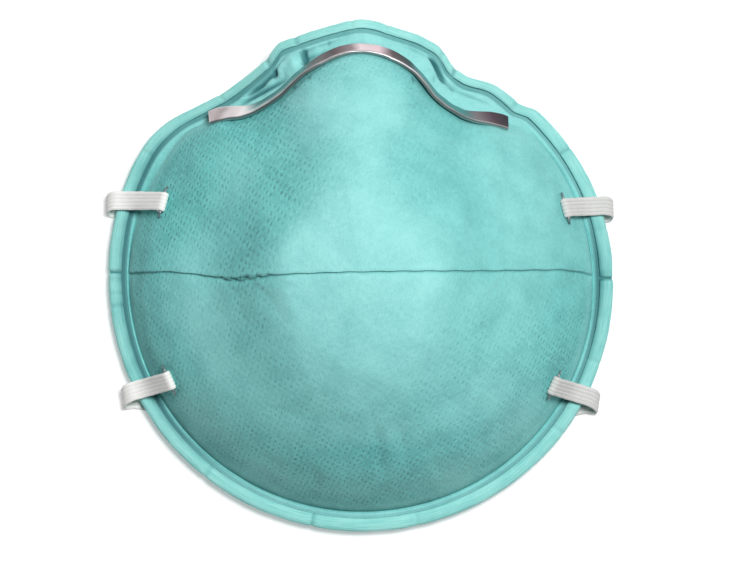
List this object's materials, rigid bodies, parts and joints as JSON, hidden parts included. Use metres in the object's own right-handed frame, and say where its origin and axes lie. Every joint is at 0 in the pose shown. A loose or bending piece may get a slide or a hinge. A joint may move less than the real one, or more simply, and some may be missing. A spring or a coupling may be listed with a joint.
{
  "type": "surgical respirator",
  "caption": "Moulded cup respirator with a cross pleat, a sealed rim, a bent metal nose clip and stapled flat elastic head straps, lying dome up on its open side.",
  "frame": {"origin": "on the surface that the part lies on, under the middle of its outline", "axes": "+X towards the right of the front seen from outside, +Y towards the nose clip, +Z away from the face, through the top of the dome"},
  "size_m": [0.137, 0.1382, 0.0525],
  "materials": {
    "cup_fabric": "matt aqua pressed non-woven with a fine dimple lattice, white inside",
    "edge_fabric": "smooth matt aqua non-woven, rolled and sealed",
    "clip_metal": "bright rolled soft aluminium with a faint warm tint",
    "strap_elastic": "white flat braided elastic with lengthwise ribs",
    "staple_wire": "dull grey steel wire"
  },
  "bodies": {
    "root": {"cup_shell": "cup_fabric", "edge_band": "edge_fabric", "nose_clip": "clip_metal", "upper_strap": "strap_elastic", "lower_strap": "strap_elastic", "staple_upper_left": "staple_wire", "staple_upper_right": "staple_wire", "staple_lower_left": "staple_wire", "staple_lower_right": "staple_wire"}
  },
  "joints": []
}
